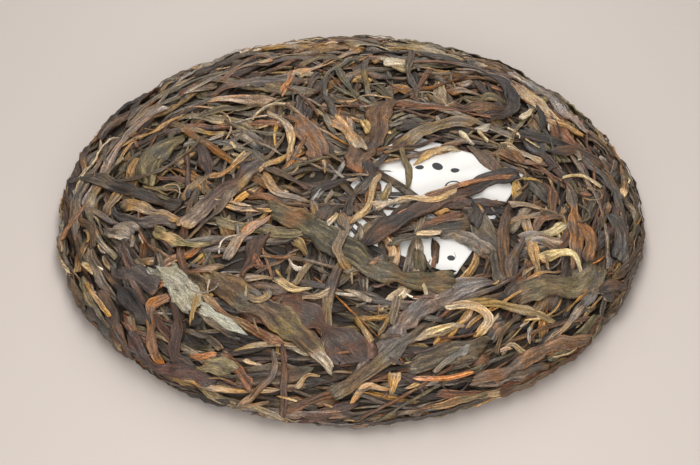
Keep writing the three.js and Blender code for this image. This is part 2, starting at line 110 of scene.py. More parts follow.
# The leaves that show most, lowest first: form, colour, width, then points of the plan that was read
LEAVES = """
strip slate 7 -52,57 -34,63 -18,60
strip grey 5 -50,49 -38,51 -28,46
strip moss 3 -19,73 -10,78 0,76
strip moss 3 -5,73 -2,62 3,48
strip amber 3 -21,68 -22,60 -25,54
bud cream 3.5 -18,69 -21,64
strip rust 3 -47,63 -42,72 -36,82
strip tan 4 -64,63 -57,68
stem umber 1.5 -70,38 -60,45 -50,50
strip straw 3 8,81 15,76 22,70
bud cream 4.5 13,76 22,77
strip umber 3 24,85 22,68 25,50
strip plum 6 35,44 48,46 57,46
strip moss 4.5 38,53 50,54 58,52
blade umber 6.5 36,58 48,57
stem cream 2 40,62 45,64
blade plum 6 52,72 60,60 58,45 48,38
strip grey 4 60,75 75,55 85,35
strip tan 3.5 71,40 78,38 84,34
bud cream 4 62,40 66,46
bud cream 4 31,36 33,30
strip rust 2.5 10,45 25,43 42,40 50,38
blade umber 9 13,46 8,25 1,3
blade grey 8 -20,38 -14,25 -10,10
strip grey 5.5 -6,34 0,25 4,14
strip gold 3 5,33 7,26
stem straw 2.5 -29,38 -22,30 -20,20 -21,10
strip rust 2 -15,22 -20,10
stem tan 1.8 -35,1 -28,7 -20,13
blade tan 6 18,20 27,27 37,33 44,33
strip umber 6 12,12 16,14 21,17
strip tan 3 21,7 27,13 33,17 41,19
strip moss 4 15,-4 21,-5
strip gold 3 10,-12 13,-7 14,-1
stem straw 2.6 0,-22 6,-17 8,-5 10,0
strip ink 5 -2,-20 3,-8 9,0
strip ink 3 -13,-9 -5,-4 0,-1
strip plum 5 -27,5 -18,-2 -11,-6
strip tan 3.5 -29,3 -25,-8 -20,-11 -13,-12
strip rust 3 -35,-7 -28,-11 -23,-15
strip grey 3.5 -40,-38 -34,-28 -26,-20
strip ink 5.5 -97,10 -88,8 -78,1 -68,-6 -57,-12
strip tan 4.5 -78,-7 -68,-12 -57,-18
strip slate 4.5 -82,-8 -72,-17 -58,-19
blade moss 9 -58,27 -68,18 -70,3
stem umber 1.5 -80,5 -70,6 -62,11 -52,24 -48,30
strip gold 2 -70,-1 -62,-4
strip rust 4 -66,5 -60,3 -55,0
stem rust 2 -56,15 -55,2 -54,-8
strip plum 5 -52,20 -49,10 -48,0
strip moss 3 -44,18 -36,17
stem straw 2 -41,14 -38,12 -40,6
stem straw 2 -36,14 -41,6
strip grey 2.5 -57,-8 -50,0 -40,7 -33,15
blade plum 6.5 -55,-22 -47,-12 -38,0 -30,10
strip umber 3 -56,-30 -45,-18 -38,-5 -30,6
blade grey 8 -80,-18 -72,-24
stem amber 2 -97,-20 -92,-13 -88,-5
strip rust 2.5 -90,-9 -84,-12 -78,-17
strip umber 3 -91,-14 -86,-20 -85,-28
bud cream 5 -49,23 -44,26
strip tan 3 -60,31 -50,29 -44,26
strip moss 5 -65,-22 -52,-32 -45,-33
bud cream 5 44,29 49,31
stem cream 2 39,28 44,23
stem cream 2 56,32 60,28
blade straw 5 54,23 60,20 66,13
strip umber 3.5 55,20 60,13
stem straw 1.5 73,5 80,8 86,2
strip ink 5 70,20 80,22 88,15
strip slate 5.5 74,2 76,-12 75,-28 75,-42
strip rust 4 67,3 69,-3 68,-12
strip tan 2.5 53,-20 60,-18 66,-14 72,-15
strip umber 3 61,-24 64,-18 71,-16
strip grey 3 54,-11 64,-13 70,-14
strip amber 5 78,-18 80,-25 79,-34
strip slate 6 87,-10 91,-20 90,-32
blade grey 6.5 57,-28 70,-28
blade slate 8 40,-12 43,-22 48,-35 50,-47
strip grey 5 30,-28 38,-30 46,-36
strip umber 3 28,-30 28,-42
strip moss 4 22,-31 23,-45
strip ink 4 3,-34 13,-22 20,-14
strip umber 4 11,-28 20,-20 28,-14
strip rust 4 22,-26 32,-22 38,-20
blade umber 6 44,19 48,11 51,4
strip moss 5 18,15 20,5 20,-4
strip ink 4 41,-10 42,-17 41,-24
strip amber 3.5 11,-28 22,-16
strip rust 3.5 24,-25 37,-19
strip tan 2.5 29,-18 35,-15
strip ink 5 -2,-28 3,-34 8,-37
strip ink 4.5 8,-37 12,-43
strip slate 5 13,-34 24,-29 35,-26 39,-25
blade ink 6.5 5,-34 20,-20 38,-6 58,6
strip rust 2 26,-11 35,-5 40,-3
stem cream 2.2 8,-16 16,-12 28,-12
strip amber 3 44,-10 50,-9
stem amber 1.6 29,-32 27,-43
stem rust 2 25,-12 35,-6 42,-2 57,3
strip tan 2.8 8,-15 17,-12 27,-13 36,-8
strip straw 2.5 21,-30 30,-29
strip umber 4 54,-10 51,-25 50,-45
strip umber 4 58,-28 53,-38 52,-47
blade moss 9 52,-53 65,-49 76,-46 82,-36
strip tan 5 56,-47 63,-43 69,-41
strip cream 3.2 62,-37 68,-33 74,-34 76,-43
strip gold 3 78,-50 82,-40
blade slate 8 80,-50 86,-46 91,-42
strip grey 3 60,-74 68,-66 75,-56
strip moss 3 63,-77 71,-69 79,-58
blade slate 8 43,-72 50,-64
strip tan 4 35,-60 48,-58 57,-61 65,-64
strip cream 4 37,-58 41,-59
strip tan 3 30,-60 40,-61 44,-66 40,-72
strip umber 3 46,-78 48,-70 54,-62
strip rust 3 39,-84 45,-78
strip straw 4 48,-78 51,-74 57,-78 62,-76
bud cream 4 57,-66 57,-73
blade slate 7 18,-85 30,-80 42,-76
strip umber 4 40,-89 52,-84 62,-78
strip ink 4 31,-89 40,-88
strip moss 3 24,-97 36,-93 48,-88
strip rust 3.5 46,-90 56,-84 67,-76 77,-68
strip bronze 5 38,-88 47,-85 56,-78 66,-72 76,-65
strip cream 4 26,-87 32,-81 37,-77
blade slate 7.5 0,-92 10,-78 20,-64 33,-54 47,-48
strip umber 5 -5,-95 5,-88 15,-78 28,-65
strip cream 4.5 20,-75 28,-70 38,-67
strip straw 3 24,-72 33,-68
blade plum 6 14,-87 19,-90 24,-94
strip tan 5 12,-95 14,-88
strip amber 2 19,-90 30,-89 38,-86
strip tan 3 0,-98 5,-93 12,-94
blade rust 14 -30,-60 -22,-63 -10,-68 2,-82
blade moss 9 -26,-17 -12,-27 4,-42 18,-49 33,-50
strip tan 4 -3,-18 -2,-28 -4,-38 -1,-46
stem straw 2 -7,-26 -4,-20
strip tan 3 -12,-13 -11,-22
strip umber 5 -5,-13 -9,-24
bud gold 6 -18,-31 -13,-38
stem cream 1.5 -20,-39 -18,-44 -14,-46
strip plum 6 -29,-30 -32,-40 -35,-50
strip rust 3 -31,-38 -29,-43
strip grey 3 -24,-63 -20,-55
strip tan 2.5 -18,-57 -10,-58 -5,-55
stem cream 2 -1,-54 3,-57 7,-59
stem straw 2 10,-63 14,-59
stem cream 1.5 23.5,-52 24.5,-57
stem tan 1.5 2,-66 12,-66
stem tan 2 2,-66 7,-76
stem tan 2 12,-66 9,-74
blade umber 9 -45,-45 -30,-60 -15,-73 -7,-82
strip straw 3 -24,-48 -18,-54 -12,-53
strip grey 2.5 -18,-52 -14,-46 -11,-41
strip rust 3 -50,-50 -40,-62 -28,-71 -20,-76
strip rust 3.2 -21,-76 -20,-86 -20,-97 -20,-106
strip cream 4 -11,-80 -5,-86
strip gold 2.5 -32,-57 -29,-59 -26,-57 -27,-53
stem cream 1.5 -33,-56 -33,-51
strip umber 3 -24,-78 -23,-87 -28,-93 -34,-95
strip tan 2 -16,-93 -13,-88 -9,-88
blade ash 8.5 -63,-40 -55,-50 -49,-61
strip ash 5.5 -47,-60 -40,-66 -32,-71
strip gold 4 -48,-55 -50,-66
strip grey 3 -47,-68 -40,-76
strip plum 4.5 -57,-55 -54,-65 -54,-78 -48,-85
strip umber 4 -58,-53 -63,-56 -63,-63 -61,-75 -58,-80
strip amber 3 -64,-48 -60,-48
strip moss 3 -88,-40 -83,-52 -76,-64 -68,-76
stem grey 2 -86,-43 -80,-54
strip ink 5 -64,-80 -52,-89 -38,-95
strip ink 5 -80,-50 -75,-62 -69,-74
strip plum 4.5 -70,-67 -61,-79 -50,-84 -42,-89
strip ink 6 -78,-42 -70,-55 -65,-65
blade slate 7 -74,-38 -62,-50
stem tan 1.5 -87,-42 -80,-53 -76,-60
strip rust 3.5 -40,-78 -35,-84 -30,-92
strip amber 2.5 -49,-80 -41,-80
blade moss 7 -45,-82 -36,-86
strip moss 6 -50,-73 -42,-77
strip rust 4 -52,-45 -42,-43
strip gold 4 -88,-35 -82,-40
"""


def linear(colour):
    """sRGB numbers up to 255 as linear ones up to 1."""
    c = np.asarray(colour, float) / 255
    return np.where(c <= 0.04045, c / 12.92, ((c + 0.055) / 1.055) ** 2.4)


def smoothstep(low, high, x):
    t = np.clip((x - low) / (high - low), 0, 1)
    return t * t * (3 - 2 * t)


def outline():
    """Half the cake's outline, from the top of the dome round the rim to the roof of the dimple."""
    a = np.linspace(0, math.pi / 2, 500)
    dome_r = RADIUS * np.sin(a) ** (2 / DOME_ACROSS)
    dome_z = EQUATOR_HEIGHT + (CENTRE_HEIGHT - EQUATOR_HEIGHT) * np.abs(np.cos(a)) ** (2 / DOME_UP)
    foot_r = FOOT_RADIUS + (RADIUS - FOOT_RADIUS) * np.cos(a[1:])
    foot_z = EQUATOR_HEIGHT * (1 - np.sin(a[1:]))
    flat_r = np.linspace(FOOT_RADIUS, 0, 400)[1:]
    flat_z = DIMPLE_DEPTH * np.clip(1 - (flat_r / DIMPLE_RADIUS) ** 2, 0, 1) ** 2
    return np.concatenate([dome_r, foot_r, flat_r]), np.concatenate([dome_z, foot_z, flat_z])


class Surface:
    """The outline by the way run along it, as even steps of distance, height and outward normal."""

    def __init__(self):
        r, z = outline()
        run = np.concatenate([[0], np.cumsum(np.hypot(np.diff(r), np.diff(z)))])
        self.way = np.linspace(0, run[-1], 2400)
        self.r = np.interp(self.way, run, r)
        self.z = np.interp(self.way, run, z)
        step_r, step_z = np.gradient(self.r), np.gradient(self.z)
        size = np.hypot(step_r, step_z)
        kernel = np.ones(25) / 25
        self.normal_r = np.convolve(-step_z / size, kernel, "same")
        self.normal_z = np.convolve(step_r / size, kernel, "same")
        self.normal_r[:13], self.normal_z[:13] = 0.0, 1.0
        self.normal_r[-13:], self.normal_z[-13:] = 0.0, -1.0

    def place(self, x, y, lift, under):
        """Chart coordinates and a lift along the normal as a place on the cake."""
        way = np.hypot(x, y)
        s = self.way[-1] - way if under else way
        r = np.interp(s, self.way, self.r) + lift * np.interp(s, self.way, self.normal_r)
        z = np.interp(s, self.way, self.z) + lift * np.interp(s, self.way, self.normal_z)
        angle = np.arctan2(y, x)
        return np.stack([r * np.cos(angle), r * np.sin(angle), np.maximum(z, 0.03)], -1)

    def seen_at(self, x, y):
        """The top chart's place that the camera sees where a point of the reading plan was."""
        radius = math.hypot(x, y)
        if radius < READ_DOME:
            height = READ_EDGE + READ_RISE * (1 - (radius / READ_DOME) ** 2)
        else:
            beyond = (radius - READ_DOME) / READ_ROUND
            height = READ_EDGE / 2 * (1 + math.sqrt(max(0.0, 1 - beyond**2)))
        eye, axes = camera_axes(READ_ELEVATION)
        across, up, away = axes @ (np.array([x, y, height]) - eye)
        across, up = np.array([across, up]) / away * READ_SCALE + READ_SHIFT
        eye, axes = camera_axes(CAMERA_ELEVATION)
        ray = across * axes[0] + up * axes[1] + axes[2]
        steps = np.linspace(CAMERA_DISTANCE - READ_REACH, CAMERA_DISTANCE + READ_REACH, 900)
        points = eye + steps[:, None] * ray
        r, z = np.hypot(points[:, 0], points[:, 1]), points[:, 2]
        widest = int(np.argmax(self.r))
        above = z - np.interp(r, self.r[:widest], self.z[:widest])
        inside = (r < RADIUS) & ((above < 0) | (z <= EQUATOR_HEIGHT))
        first = int(np.argmax(inside))
        if not inside.any():
            first = int(np.argmin(np.hypot(np.maximum(r - RADIUS, 0), np.maximum(above, 0))))
        near = np.hypot(self.r[::4] - r[first], self.z[::4] - z[first])
        upper = near[: len(near) * 6 // 10]
        way = self.way[::4][int(np.argmin(upper))]
        return points[first, 0] / r[first] * way, points[first, 1] / r[first] * way


def camera_axes(elevation):
    """The place of a camera at an elevation, and its axes: across, up and away."""
    c, s = math.cos(elevation), math.sin(elevation)
    axes = np.array([[1, 0, 0], [0, s, c], [0, c, -s]])
    return CAMERA_TARGET - axes[2] * CAMERA_DISTANCE, axes


surface = Surface()


def blur(grid, sigma):
    """A height map smoothed over sigma millimetres."""
    reach = max(1, int(round(2.2 * sigma / CELL)))
    weights = np.exp(-0.5 * (np.arange(-reach, reach + 1) * CELL / sigma) ** 2)
    weights /= weights.sum()
    for axis in (0, 1):
        grid = sum(w * np.roll(grid, k, axis) for k, w in zip(range(-reach, reach + 1), weights))
    return grid


def spread(grid, reach):
    """The highest place within reach millimetres."""
    cells = int(round(reach / CELL))
    for axis in (0, 1):
        grid = np.max([np.roll(grid, k, axis) for k in range(-cells, cells + 1)], axis=0)
    return grid


def between(grid, along, across):
    """Values between the neighbours of a grid, at these shares of its steps."""
    g = grid[:-1] * (1 - along) + grid[1:] * along
    return g[:, :-1] * (1 - across) + g[:, 1:] * across


class Heap:
    """The leaves laid over one chart and the height that they reach."""

    def __init__(self, reach, under):
        self.under = under
        self.reach = reach
        self.cells = int(2 * reach / CELL) + 1
        self.height = np.zeros((self.cells, self.cells))
        self.bed = self.height
        self.laid = []

    def index(self, x, y):
        i = np.clip(((x + self.reach) / CELL), 0, self.cells - 1.001)
        j = np.clip(((y + self.reach) / CELL), 0, self.cells - 1.001)
        return i, j

    def sample(self, grid, x, y):
        i, j = self.index(x, y)
        i0, j0 = i.astype(int), j.astype(int)
        fi, fj = i - i0, j - j0
        low = grid[i0, j0] * (1 - fj) + grid[i0, j0 + 1] * fj
        high = grid[i0 + 1, j0] * (1 - fj) + grid[i0 + 1, j0 + 1] * fj
        return low * (1 - fi) + high * fi

    def settle(self):
        """Smooths what lies there as the bed for the next leaves."""
        self.bed = blur(spread(self.height, 1.0), 1.2)

    def raise_to(self, x, y, level):
        """Lifts the height map to the level of each place."""
        i, j = self.index(x, y)
        np.maximum.at(self.height, (np.rint(i).astype(int), np.rint(j).astype(int)), level)

    def lay(self, piece):
        """Lays a leaf on the bed: it bridges dips and sags a little into them."""
        x, y, up = piece["x"], piece["y"], piece["up"]
        bed = self.sample(self.bed, x, y)
        middle = bed.mean(axis=1, keepdims=True)
        kernel = np.ones(5) / 5
        padded = np.pad(middle[:, 0], 2, mode="edge")
        middle = np.convolve(padded, kernel, "valid")[:, None]
        piece["raw"] = STIFFNESS * middle + (1 - STIFFNESS) * bed + up
        grids = [g[:, piece["top"]] for g in (x, y, piece["raw"])]
        for along in (0, 1 / 3, 2 / 3):
            for across in (0, 0.5):
                self.raise_to(*(between(g, along, across) for g in grids))
        self.laid.append(piece)

    def press(self):
        """Presses the heap to the cake's outline: dips and crests stay, slow swells go."""
        level = blur(self.height, 7.0)
        for piece in self.laid:
            above = piece["raw"] - self.sample(level, piece["x"], piece["y"])
            pressed = 0.5 + 0.5 * np.tanh((above + 0.35) / PRESS * 1.35)
            way, bearing = np.hypot(piece["x"], piece["y"]), np.arctan2(piece["y"], piece["x"])
            uneven = sum(np.sin(waves * bearing + way / turn) for waves, turn in RIM_WAVES)
            ragged = RIM_UNEVEN * uneven + rng.uniform(-RIM_LOOSE, RIM_LOOSE)
            piece["lift"] = CREST - RELIEF * (1 - pressed) + smoothstep(RIM_FROM, RIM_TO, way) * ragged
            # How deep a leaf lies below the pressed level, for the painted shade that darkens deep leaves
            piece["depth"] = -above


def smooth_path(points, step):
    """A Catmull-Rom curve through the points, in even steps."""
    p = np.asarray(points, float)
    p = np.concatenate([[2 * p[0] - p[1]], p, [2 * p[-1] - p[-2]]])
    t = np.linspace(0, 1, 13)[:, None]
    spans = []
    for a, b, c, d in zip(p[:-3], p[1:-2], p[2:-1], p[3:]):
        squared, cubed = 2 * a - 5 * b + 4 * c - d, 3 * b - a - 3 * c + d
        spans.append(0.5 * (2 * b + (c - a) * t + squared * t**2 + cubed * t**3))
    curve = np.concatenate([s[:-1] for s in spans] + [p[-2:-1]])
    run = np.concatenate([[0], np.cumsum(np.hypot(*np.diff(curve, axis=0).T))])
    count = max(7, int(run[-1] / step) + 1)
    even = np.linspace(0, run[-1], count)
    return np.stack([np.interp(even, run, curve[:, 0]), np.interp(even, run, curve[:, 1])], -1), run[-1]


def slow_noise(length, across, scale, count):
    """Random values between -1 and 1 for each point across, changing slowly along the leaf."""
    knots = max(3, int(length / scale) + 2)
    values = rng.uniform(-1, 1, (knots, across))
    at = np.linspace(0, knots - 1.001, count)
    i = at.astype(int)
    f = smoothstep(0, 1, at - i)[:, None]
    return values[i] * (1 - f) + values[i + 1] * f


def fold(x):
    """A fold's height: it rises slowly to a lip and drops at once."""
    part = x - np.floor(x)
    return np.where(part < 0.78, part / 0.78, (1 - part) / 0.22) - 0.5


def lip(x):
    """One along the lip of a fold and nothing elsewhere: where a leaf's colour gets its painted highlight."""
    part = x - np.floor(x)
    return np.exp(-(((part - 0.76) / 0.09) ** 2))


# A leaf's forms: its height by its width, least and most; how square its section is; how many folds and how
# deep; how far its edges curl and how far it tilts; how often its ends are pointed, torn or drawn out, in
# hundredths; and how often an end is tucked under its neighbours
FORM_FIELDS = ("height", "square", "folds", "deep", "curl", "tilt", "ends", "tucked")
FORMS = {
    "strip": ((0.36, 0.7, 1.6), 3.0, (0.7, 2.7), 0.5, 0.6, 0.85, (8, 72, 20), 0.7),
    "blade": ((0.13, 0.6, 1.1), 5.0, (1.2, 3.4), 0.8, 1.2, 0.35, (8, 82, 10), 0.8),
    "roll": ((0.34, 1.4, 3.0), 2.2, (0.6, 1.8), 0.2, 0.0, 0.1, (10, 78, 12), 0.7),
    "stem": ((0.75, 0.5, 1.6), 2.2, (0.6, 1.6), 0.16, 0.0, 0.0, (6, 86, 8), 0.5),
    "bud": ((0.42, 0.9, 2.0), 2.4, (1.2, 2.6), 0.34, 0.0, 0.2, (40, 50, 10), 0.3),
    "bit": ((0.4, 0.35, 1.0), 3.0, (0.5, 1.5), 0.4, 0.3, 0.6, (15, 80, 5), 0.5),
}


def end_taper(run, width, ends):
    """How a leaf narrows towards one end: to a point, to a torn edge, or to a long tail."""
    kind = rng.choice(3, p=np.array(ends) / 100)
    torn = np.clip((run + 0.3 * width) / (0.5 * width), 0, 1) ** 0.5
    if kind == 0:
        return np.clip(run / min(width * rng.uniform(1.1, 2.6), 10), 0, 1) ** rng.uniform(0.45, 0.75)
    if kind == 1:
        return torn
    return torn * (0.35 + 0.65 * smoothstep(0, min(width * rng.uniform(2, 4.5), 16), run))


def pinches(run, length):
    """Where a leaf is twisted or creased across: it narrows there for a few millimetres."""
    narrowed = np.ones_like(run)
    for _ in range(rng.poisson(length / 26)):
        place, reach = rng.uniform(0.15, 0.85) * length, rng.uniform(1.3, 3.2)
        narrowed = narrowed * (1 - rng.uniform(0.15, 0.5) * np.exp(-(((run - place) / reach) ** 2)))
    return narrowed


def across_points(fine):
    """Places across a leaf from -1 to 1: its upper side from one edge to the other, then two below."""
    upper = np.sin(np.linspace(-math.pi / 2, math.pi / 2, fine))
    upper = 0.5 * upper + 0.5 * np.linspace(-1, 1, fine)
    return upper, np.array([0.55, -0.55])


def leaf_plan(f, width, path, run, length, u):
    """A leaf from above, as places along and across it: how it wanders, narrows, tilts and is torn."""
    count = len(path)
    along = np.gradient(path, axis=0)
    along /= np.hypot(*along.T)[:, None] + 1e-9
    side = np.stack([-along[:, 1], along[:, 0]], -1)
    path = path + side * 0.07 * width * slow_noise(length, 1, 6, count)

    taper = end_taper(run, width, f["ends"]) * end_taper(length - run, width, f["ends"])
    taper = taper * pinches(run, length)
    tilt = f["tilt"] * rng.uniform(0, 1)
    tilt = tilt * np.sin(run * rng.uniform(0.08, 0.22) + rng.uniform(0, 6.3))
    edges = 1 + 0.15 * slow_noise(length, 2, 6, count) + 0.13 * slow_noise(length, 2, 2.5, count)
    full = width / 2 * taper * (1 + 0.12 * np.sin(run * rng.uniform(0.1, 0.35) + rng.uniform(0, 6.3)))
    half = full * np.cos(tilt) * np.where(u > 0, edges[:, :1], edges[:, 1:])

    ragged = rng.uniform(-1.1, 1.1, (2, 1)) * u + 0.35 * rng.uniform(-1, 1, (2, u.shape[1]))
    torn_first = ragged[0] * full * np.exp(-run / (0.6 * width))
    torn_last = ragged[1] * full * np.exp(-(length - run) / (0.6 * width))
    slip = torn_first - torn_last
    x = path[:, :1] + side[:, :1] * u * half + along[:, :1] * slip
    y = path[:, 1:] + side[:, 1:] * u * half + along[:, 1:] * slip
    return dict(x=x, y=y, taper=taper, full=full, tilt=tilt)


def leaf_folds(f, run, length, upper, hand):
    """The folds along a leaf, the creases between them, and the lip of each fold, which gets a painted
    highlight.
    """
    count, fine = len(run), len(upper)
    wave = rng.uniform(*f["folds"]) * (hand * upper[None, :] + 1) / 2 + rng.uniform(0, 1)
    wave = wave + rng.normal(0, 0.6) * run / 30
    wave = wave + 0.3 * slow_noise(length, 1, 8, count) + 0.13 * slow_noise(length, fine, 4, count)
    folds = fold(wave) * (0.75 + 0.5 * slow_noise(length, 1, 7, count))
    creases = slow_noise(length, fine, 4, count)
    return folds, creases, lip(wave)


def leaf_relief(form, f, width, run, length, upper, plan):
    """A leaf's height over its bed, with its folds and creases, and the lip of each fold for its painted
    highlight.
    """
    count, taper = len(run), plan["taper"]
    by_width, least, most = f["height"]
    height = min(max(by_width * width, least), most) * rng.uniform(0.8, 1.2)
    height = height * (0.3 + 0.7 * taper) * (1 + 0.28 * slow_noise(length, 1, 7, count))
    crown = (1 - np.abs(upper) ** f["square"])[None, :] ** 0.5
    hand = rng.choice((-1, 1))
    folds, creases, lip_highlights = leaf_folds(f, run, length, upper, hand)
    relief = f["deep"] * (folds + 0.4 * creases) * np.minimum(1, 1.6 * crown)
    up = height * (crown * (0.85 + 0.15 * folds) + relief)
    curl = f["curl"] * rng.uniform(-0.3, 1.0, 2)
    curl = curl[0] * smoothstep(0.4, 1, -upper) + curl[1] * smoothstep(0.4, 1, upper)
    up = up + height * curl[None, :] * taper
    up = up + upper[None, :] * plan["full"] * np.sin(plan["tilt"]) * 0.85
    if form == "blade":
        midrib = np.exp(-(((upper - 0.15 * hand) / 0.1) ** 2))
        up = up + rng.uniform(0.1, 0.35) * midrib * taper
        up = up + 0.3 * slow_noise(length, 1, 8, count) * taper
    sunk = rng.uniform(0.6, 2.4, 2) * (rng.uniform(0, 1, 2) < f["tucked"])
    dip_first = smoothstep(rng.uniform(3, 9), 0, run) * sunk[0]
    dip_last = smoothstep(rng.uniform(3, 9), 0, length - run) * sunk[1]
    up = up - (dip_first + dip_last)
    up = np.concatenate([up, up[:, [-2, 1]] - 0.75 * height - 0.15], 1)
    return up, folds, creases, lip_highlights


def make_leaf(form, colour, width, points, fine, step):
    """A leaf as a grid of points along and across it, with its height over its bed and its colour."""
    path, length = smooth_path(points, step)
    t = np.linspace(0, 1, len(path))[:, None]
    run = t * length
    upper, lower = across_points(fine)
    u = np.concatenate([upper, lower])[None, :]
    f = dict(zip(FORM_FIELDS, FORMS[form]))
    plan = leaf_plan(f, width, path, run, length, u)
    up, folds, creases, lip_highlights = leaf_relief(form, f, width, run, length, upper, plan)
    relief, lip_highlights = (np.concatenate([g, g[:, [-3, 2]]], 1) for g in (folds + 0.3 * creases, lip_highlights))
    return dict(
        form=form,
        kind=colour,
        x=plan["x"],
        y=plan["y"],
        up=up,
        top=slice(0, fine),
        colour=leaf_colour(colour, u, t, relief, lip_highlights, length),
        run=np.broadcast_to(run, plan["x"].shape),
        over=np.broadcast_to(u * width / 2, plan["x"].shape),
        seed=rng.uniform(0, 1000),
    )


# The tints of a leaf's patches and of its ends
PATCHES = ("umber", "tan", "moss", "rust", "slate", "ink", "amber", "straw")
ENDS = ("cream", "tan", "rust", "straw")
PLAIN = ("ink", "slate", "plum")  # leaves with fainter patches
WARM = ("gold", "amber", "straw", "rust", "moss")  # leaves that are vivid already


def leaf_colour(kind, u, t, folds, lip_highlights, length):
    """A leaf's colours: painted shade and highlight on folds and edges, streaks, and patches and ends of
    other tints.
    """
    count, across = len(t), u.shape[1]
    low, high = (linear(c) for c in PAINT[kind])
    tint = np.exp(rng.normal(0, 0.245))
    tint = tint * np.array([1 + rng.normal(0.025, 0.03), 0.985, 1 - rng.normal(0.045, 0.05)])
    streaks = slow_noise(length, across, 7, count)
    # Painted shade in the hollows and painted highlight up the folds and at their lip; the streaks are the
    # leaf's own
    mix = 0.30 + 0.38 * folds + 0.4 * lip_highlights * rng.uniform(0, 1) + 0.22 * streaks
    # Painted highlight along the edges: each edge paler, now and then a little darker
    mix = mix + 0.45 * smoothstep(0.78, 1.0, np.abs(u)) * np.where(u > 0, *rng.uniform(-0.3, 1, 2))
    colour = low + (high - low) * np.clip(mix, 0, 1.25)[..., None]
    strength = 0.5 if kind in PLAIN else 1.0
    for scale, most in ((9, 0.75 * strength), (4, 0.6 * strength)):
        other = linear(PAINT[rng.choice(PATCHES)][1])
        other = other * (0.45 + 0.45 * np.clip(mix, 0, 1)[..., None])
        patch = slow_noise(length, 1, scale, count) + 0.5 * slow_noise(length, across, 3, count)
        patch = smoothstep(0.15, 0.7, patch)
        colour = colour + (other - colour) * (most * patch * rng.uniform(0, 1))[..., None]
    if rng.uniform() < 0.2:
        end = linear(PAINT[rng.choice(ENDS)][1])
        reach = rng.uniform(0.04, 0.14)
        amount = smoothstep(reach, 0, t if rng.uniform() < 0.5 else 1 - t) * 0.5
        colour = colour + (end - colour) * amount[..., None]
    colour = colour * tint
    grey = (colour @ np.array([0.2126, 0.7152, 0.0722]))[..., None]
    vivid = 1.1 + rng.normal(0, 0.2) + 0.5 * slow_noise(length, 1, 6, count)
    vivid = vivid + 0.35 * slow_noise(length, across, 3, count)
    vivid = np.clip(vivid, 0.1, 1.05 if kind in WARM else 1.5)
    colour = grey + (colour - grey) * vivid[..., None]
    return np.clip(colour, 0.003, 0.95)


BUNDLED = 0.6  # the share of the random leaves that lie with their neighbours


def flow(x, y):
    """The way that most leaves lie round a place, so that neighbours lie in bundles."""
    return 2.2 * math.sin(x / 31 + 1.7 * math.sin(y / 37)) + 1.8 * math.cos(y / 29 - x / 53)


def random_path(x, y, length, wander):
    """A path through a place of a chart: with its bundle or across it, and round the cake at its rim."""
    way = math.hypot(x, y)
    rim = float(smoothstep(62, 92, way))
    bearing = math.atan2(y, x)
    if rng.uniform() < BUNDLED:
        inner = flow(x, y) + rng.normal(0, 0.3)
    else:
        inner = rng.uniform(-math.pi, math.pi)
    turned = math.remainder(inner - bearing - math.pi / 2, math.pi)
    heading = bearing + math.pi / 2 + turned * (1 - rim) + rng.uniform(-1, 1) * math.radians(24) * rim
    bend = rng.normal(0, wander) / length
    steps = 5
    trails = []
    for sign in (-1, 1):
        px, py, h = x, y, heading
        ds = sign * length / 2 / steps
        trail = []
        for _ in range(steps):
            r2 = max(px * px + py * py, 400.0)
            turning = (px * math.sin(h) - py * math.cos(h)) / r2 * rim
            h += (turning + bend) * ds
            px += math.cos(h) * ds
            py += math.sin(h) * ds
            trail.append((px, py))
        trails.append(trail)
    return trails[0][::-1] + [(x, y)] + trails[1]


# Random leaves, loose bits between them, and the broad leaves next to the core: form, share, lengths, widths
# and wander
MIX = (
    ("strip", 0.71, (22, 64), (1.1, 4.6), 0.5),
    ("blade", 0.10, (20, 50), (4.5, 8.5), 0.3),
    ("roll", 0.03, (18, 40), (3.5, 6.0), 0.3),
    ("stem", 0.11, (14, 48), (0.7, 1.6), 0.9),
    ("bud", 0.05, (9, 20), (1.8, 3.6), 0.3),
)
BITS = (
    ("bit", 0.75, (2.5, 8), (0.7, 2.2), 0.3),
    ("stem", 0.25, (5, 18), (0.5, 1.0), 1.2),
)
BROAD = (("blade", 1.0, (26, 46), (8, 13), 0.3),)

# How often each form has each colour, and how much more often a colour comes up in dark, warm and pale places
COLOURS = (
    "ink", "slate", "grey", "moss", "umber", "rust",
    "plum", "tan", "straw", "cream", "gold", "amber",
)
SHARES = {
    "strip": (0.13, 0.15, 0.17, 0.13, 0.18, 0.06, 0.07, 0.07, 0.02, 0.01, 0.005, 0.005),
    "blade": (0.14, 0.20, 0.17, 0.16, 0.17, 0.04, 0.07, 0.04, 0.005, 0.005, 0, 0),
    "roll": (0.18, 0.20, 0.12, 0.18, 0.18, 0.04, 0.08, 0.02, 0, 0, 0, 0),
    "stem": (0.05, 0.03, 0.12, 0.06, 0.22, 0.16, 0.04, 0.17, 0.08, 0.03, 0.01, 0.03),
    "bud": (0.0, 0.02, 0.20, 0.08, 0.10, 0.02, 0.02, 0.24, 0.14, 0.14, 0.02, 0.02),
    "bit": (0.08, 0.06, 0.14, 0.08, 0.15, 0.12, 0.04, 0.15, 0.07, 0.03, 0.03, 0.05),
}
IN_DARK = np.array([1, 0.8, 0, 0, 0.3, 0.2, 0.8, 0, 0, 0, 0, 0])
IN_WARM = np.array([0, 0, 0, 0.2, 0.8, 0.8, 0, 1, 1, 0.5, 1, 1])
IN_PALE = np.array([0, 0.3, 1, 0.8, 0, 0, 0, 0.6, 0.3, 0, 0, 0])


